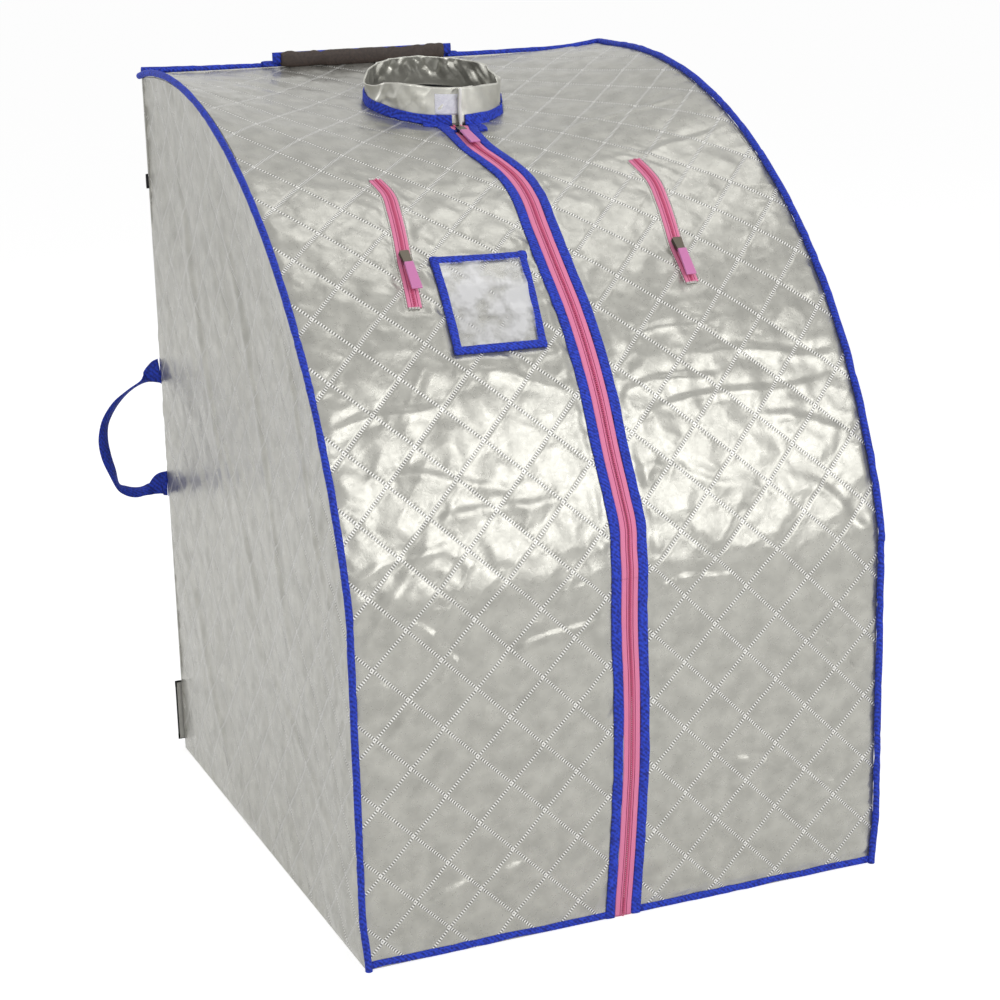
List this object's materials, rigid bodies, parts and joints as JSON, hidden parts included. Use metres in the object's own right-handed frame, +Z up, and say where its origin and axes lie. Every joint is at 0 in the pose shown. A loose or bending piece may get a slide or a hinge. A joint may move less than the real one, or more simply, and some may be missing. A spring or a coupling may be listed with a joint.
{
  "type": "portable steam sauna",
  "caption": "Folding fabric steam cabin with a curved quilted roof, neck opening with collar, front and arm zips, clear pocket, top grip, side carry loop and rear hose port.",
  "frame": {"origin": "on the floor under the middle of the back panel's bottom edge", "axes": "+Z up, the front with the zip faces -Y, +X to the right of someone facing the front"},
  "size_m": [0.7895, 0.7977, 0.9992],
  "materials": {
    "silver_quilt": "satin silver-coated quilted polyester",
    "silver_satin": "plain silver satin",
    "spring_steel": "tempered flat strip",
    "blue_piping": "royal blue corded piping",
    "blue_binding": "royal blue grosgrain tape",
    "pink_zip_tape": "woven pink zip tape",
    "zip_teeth": "moulded coil",
    "gunmetal": "dark plated zinc",
    "pink_pull": "soft moulded pull tab",
    "white_hook_tape": "hook-and-loop tape",
    "clear_film": "clear vinyl film",
    "brown_sleeve": "brown padded cloth",
    "blue_webbing": "royal blue flat webbing",
    "black_webbing": "black cloth",
    "black_grommet": "moulded grommet"
  },
  "bodies": {
    "back_and_roof": {"back_panel": "silver_quilt", "back_hoop": "spring_steel", "roof_panel": "silver_quilt", "roof_piping_left": "blue_piping", "roof_piping_right": "blue_piping", "back_top_piping": "blue_piping", "roof_zip_tapes": "pink_zip_tape", "roof_zip_teeth": "zip_teeth", "roof_zip_bindings": "blue_binding", "arm_zip_tape_left": "pink_zip_tape", "arm_zip_teeth_left": "zip_teeth", "arm_zip_tape_right": "pink_zip_tape", "arm_zip_teeth_right": "zip_teeth", "collar_band": "silver_satin", "collar_binding": "blue_binding", "collar_hook_patch": "white_hook_tape", "window_film": "clear_film", "window_binding": "blue_binding", "grip_anchors": "blue_webbing", "carry_loop_tabs": "blue_webbing", "rear_edge_tab": "black_webbing", "steam_port_grommet": "black_grommet", "port_cover_hook": "white_hook_tape"},
    "left_rear_side": {"left_rear_panel": "silver_quilt", "left_rear_hoop": "spring_steel"},
    "left_front_side": {"left_front_panel": "silver_quilt", "left_front_hoop": "spring_steel"},
    "right_rear_side": {"right_rear_panel": "silver_quilt", "right_rear_hoop": "spring_steel"},
    "right_front_side": {"right_front_panel": "silver_quilt", "right_front_hoop": "spring_steel"},
    "front": {"front_gore_left": "silver_quilt", "front_gore_right": "silver_quilt", "front_piping_left": "blue_piping", "front_piping_right": "blue_piping"},
    "left_lapel": {"lapel_left": "silver_quilt", "lapel_zip_tape_left": "pink_zip_tape", "lapel_zip_teeth_left": "zip_teeth", "lapel_zip_binding_left": "blue_binding", "hem_binding_left": "blue_binding"},
    "right_lapel": {"lapel_right": "silver_quilt", "lapel_zip_tape_right": "pink_zip_tape", "lapel_zip_teeth_right": "zip_teeth", "lapel_zip_binding_right": "blue_binding", "hem_binding_right": "blue_binding"},
    "main_zip_slider": {"main_zip_slider": "gunmetal"},
    "main_zip_pull": {"main_zip_pull": "pink_pull"},
    "arm_zip_left_slider": {"arm_zip_left_slider": "gunmetal"},
    "arm_zip_left_pull": {"arm_zip_left_pull": "pink_pull"},
    "arm_zip_right_slider": {"arm_zip_right_slider": "gunmetal"},
    "arm_zip_right_pull": {"arm_zip_right_pull": "pink_pull"},
    "collar_flap": {"collar_flap": "silver_satin", "collar_loop_patch": "white_hook_tape"},
    "top_grip": {"grip_sleeve": "brown_sleeve", "grip_strap": "blue_webbing"},
    "carry_loop": {"carry_loop": "blue_webbing"},
    "port_cover": {"port_cover": "black_webbing", "port_cover_binding": "blue_binding"}
  },
  "joints": [
    {"name": "cabin_fold", "type": "hinge", "parent": "back_and_roof", "child": "left_rear_side", "pos_m": [-0.336, -0.007, 0], "axis": [0, 0, 1], "range_deg": [0, 88]},
    {"name": "left_side_crease", "type": "hinge", "parent": "left_rear_side", "child": "left_front_side", "pos_m": [-0.342, -0.3735, 0], "axis": [0, 0, 1], "range_deg": [-176, 0]},
    {"name": "left_front_corner", "type": "hinge", "parent": "left_front_side", "child": "front", "pos_m": [-0.336, -0.74, 0], "axis": [0, 0, 1], "range_deg": [0, 88]},
    {"name": "right_side_fold", "type": "hinge", "parent": "back_and_roof", "child": "right_rear_side", "pos_m": [0.336, -0.035, 0], "axis": [0, 0, 1], "range_deg": [-88, 0]},
    {"name": "right_side_crease", "type": "hinge", "parent": "right_rear_side", "child": "right_front_side", "pos_m": [0.342, -0.4015, 0], "axis": [0, 0, 1], "range_deg": [0, 176]},
    {"name": "left_lapel_crease", "type": "hinge", "parent": "front", "child": "left_lapel", "pos_m": [-0.342, -0.778, 0], "axis": [-0.6251, 0, -0.7805], "range_deg": [0, 135]},
    {"name": "right_lapel_crease", "type": "hinge", "parent": "front", "child": "right_lapel", "pos_m": [0.342, -0.778, 0], "axis": [-0.6251, 0, 0.7805], "range_deg": [0, 135]},
    {"name": "main_zip_slide", "type": "hinge", "parent": "back_and_roof", "child": "main_zip_slider", "pos_m": [0, -0.19193, 0.32304], "axis": [1, 0, 0], "range_deg": [0, 62.88]},
    {"name": "main_zip_pull_hinge", "type": "hinge", "parent": "main_zip_slider", "child": "main_zip_pull", "pos_m": [0, -0.32459, 0.91628], "axis": [-1, 0, 0], "range_deg": [0, 135]},
    {"name": "arm_zip_left_slide", "type": "hinge", "parent": "back_and_roof", "child": "arm_zip_left_slider", "pos_m": [-0.186, -0.16149, 0.30786], "axis": [1, 0, 0], "range_deg": [-12.3, 4.2]},
    {"name": "arm_zip_left_pull_hinge", "type": "hinge", "parent": "arm_zip_left_slider", "child": "arm_zip_left_pull", "pos_m": [-0.186, -0.58489, 0.78914], "axis": [-1, 0, 0], "range_deg": [0, 135]},
    {"name": "arm_zip_right_slide", "type": "hinge", "parent": "back_and_roof", "child": "arm_zip_right_slider", "pos_m": [0.167, -0.16739, 0.3108], "axis": [1, 0, 0], "range_deg": [-13.7, 2.8]},
    {"name": "arm_zip_right_pull_hinge", "type": "hinge", "parent": "arm_zip_right_slider", "child": "arm_zip_right_pull", "pos_m": [0.167, -0.59814, 0.77681], "axis": [-1, 0, 0], "range_deg": [0, 135]},
    {"name": "collar_flap_hinge", "type": "hinge", "parent": "back_and_roof", "child": "collar_flap", "pos_m": [0.07201, -0.26342, 0.9447], "axis": [0, 0, 1], "range_deg": [0, 100]},
    {"name": "top_grip_swing", "type": "hinge", "parent": "back_and_roof", "child": "top_grip", "pos_m": [-0.022, 0.0062, 0.9832], "axis": [-1, 0, 0], "range_deg": [0, 150]},
    {"name": "carry_loop_swing", "type": "hinge", "parent": "back_and_roof", "child": "carry_loop", "pos_m": [-0.3445, 0.0048, 0.4835], "axis": [0, 0, 1], "range_deg": [-80, 80]},
    {"name": "port_cover_hinge", "type": "hinge", "parent": "back_and_roof", "child": "port_cover", "pos_m": [-0.295, 0.0066, 0.103], "axis": [1, 0, 0], "range_deg": [0, 120]}
  ],
  "couplings": [
    {"joint": "left_side_crease", "follows": "cabin_fold", "ratio": -2},
    {"joint": "left_front_corner", "follows": "cabin_fold", "ratio": 1},
    {"joint": "right_side_fold", "follows": "cabin_fold", "ratio": -1},
    {"joint": "right_side_crease", "follows": "cabin_fold", "ratio": 2}
  ]
}
